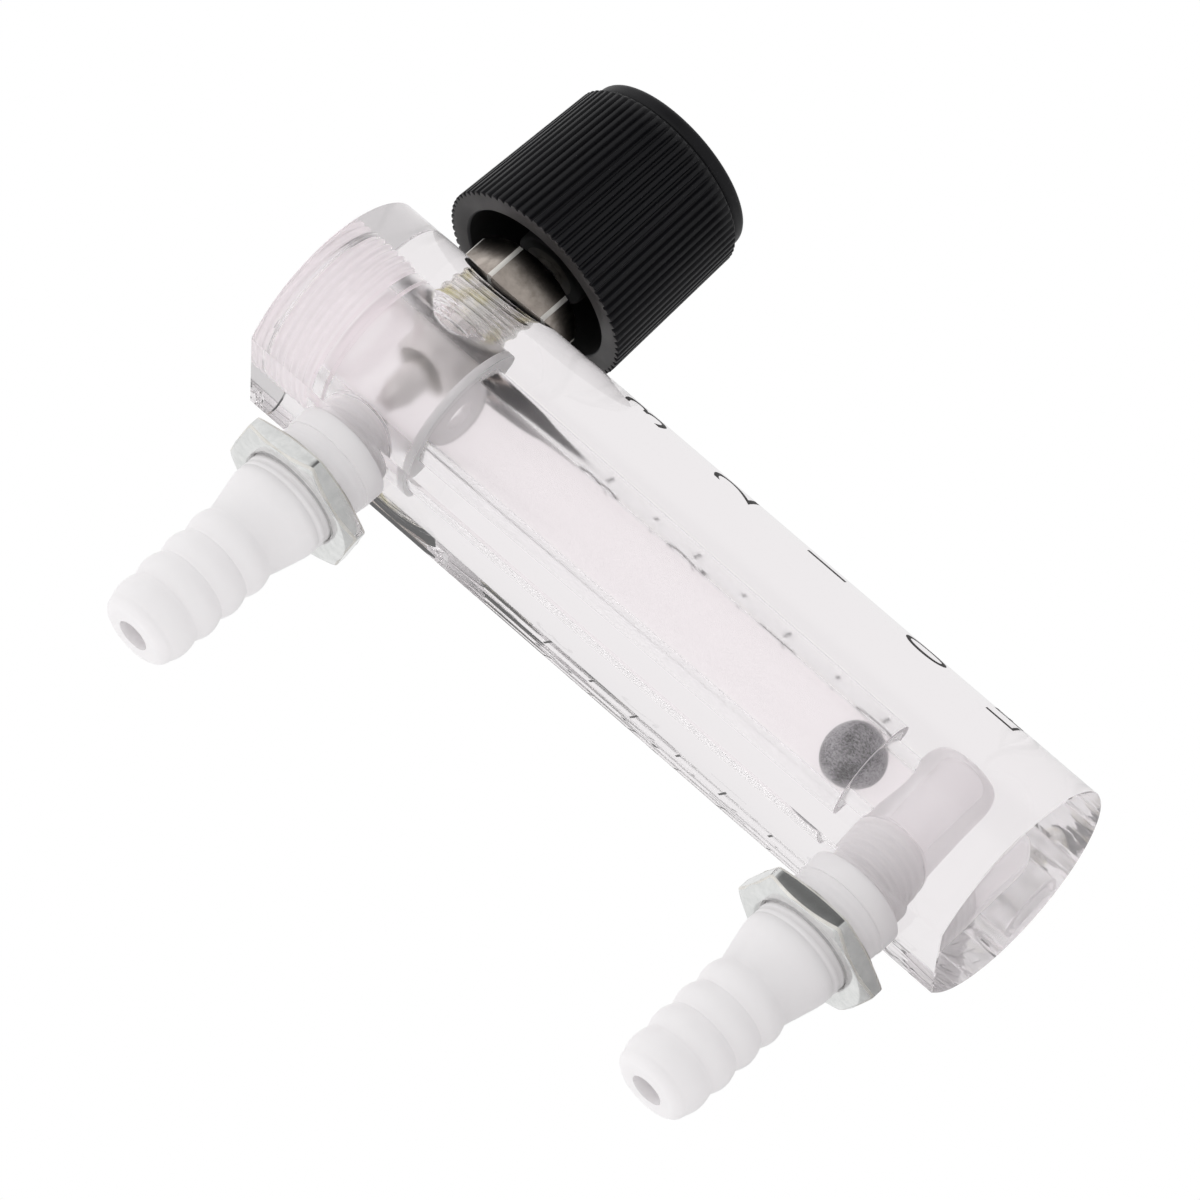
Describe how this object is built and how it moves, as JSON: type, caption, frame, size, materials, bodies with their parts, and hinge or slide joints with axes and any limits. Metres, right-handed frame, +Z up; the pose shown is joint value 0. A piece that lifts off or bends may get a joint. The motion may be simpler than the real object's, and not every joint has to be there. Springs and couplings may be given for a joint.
{
  "type": "rotameter",
  "caption": "Clear acrylic rotameter with a ball float in a tapered bore, a needle valve with a ribbed knob, and barbed hose fittings held by lock nuts.",
  "frame": {"origin": "centre of the body's bottom face, on the body's axis", "axes": "+Z up along the metering tube, -Y out through the valve knob at the front, +Y out through the hose fittings at the flat back"},
  "size_m": [0.0274, 0.0836, 0.1018],
  "materials": {
    "clear_acrylic": "polished",
    "clear_silicone": "translucent",
    "white_plastic": "satin",
    "white_nylon": "satin, translucent",
    "float_glass": "polished",
    "nickel_plate": "nickel plated",
    "bare_brass": "turned",
    "zinc_plate": "zinc plated",
    "black_rubber": "matt",
    "black_plastic": "satin"
  },
  "bodies": {
    "housing": {"meter_body": "clear_acrylic", "top_plug": "clear_acrylic", "plug_seal": "clear_silicone", "float_stop": "white_plastic", "valve_bonnet": "nickel_plate", "bonnet_seal": "black_rubber", "inlet_fitting": "white_nylon", "outlet_fitting": "white_nylon", "inlet_nut": "zinc_plate", "outlet_nut": "zinc_plate"},
    "float": {"float_ball": "float_glass"},
    "stem_seals": {"stem_seal_inner": "black_rubber", "stem_seal_outer": "black_rubber"},
    "spindle": {"valve_stem": "nickel_plate", "knob": "black_plastic", "knob_bush": "bare_brass", "knob_screw": "zinc_plate", "knob_cap": "black_plastic"}
  },
  "joints": [
    {"name": "float_rise", "type": "slide", "parent": "housing", "child": "float", "axis": [0, 0, 1], "range_m": [0, 0.0549]},
    {"name": "stem_travel", "type": "slide", "parent": "housing", "child": "stem_seals", "axis": [0, -1, 0], "range_m": [-0.002, 0]},
    {"name": "knob_turn", "type": "hinge", "parent": "stem_seals", "child": "spindle", "pos_m": [0, -0.0275, 0.0875], "axis": [0, -1, 0], "range_deg": [-1440, 0]}
  ],
  "couplings": [
    {"joint": "stem_travel", "follows": "knob_turn", "m_per_rad": 0.000079577}
  ]
}
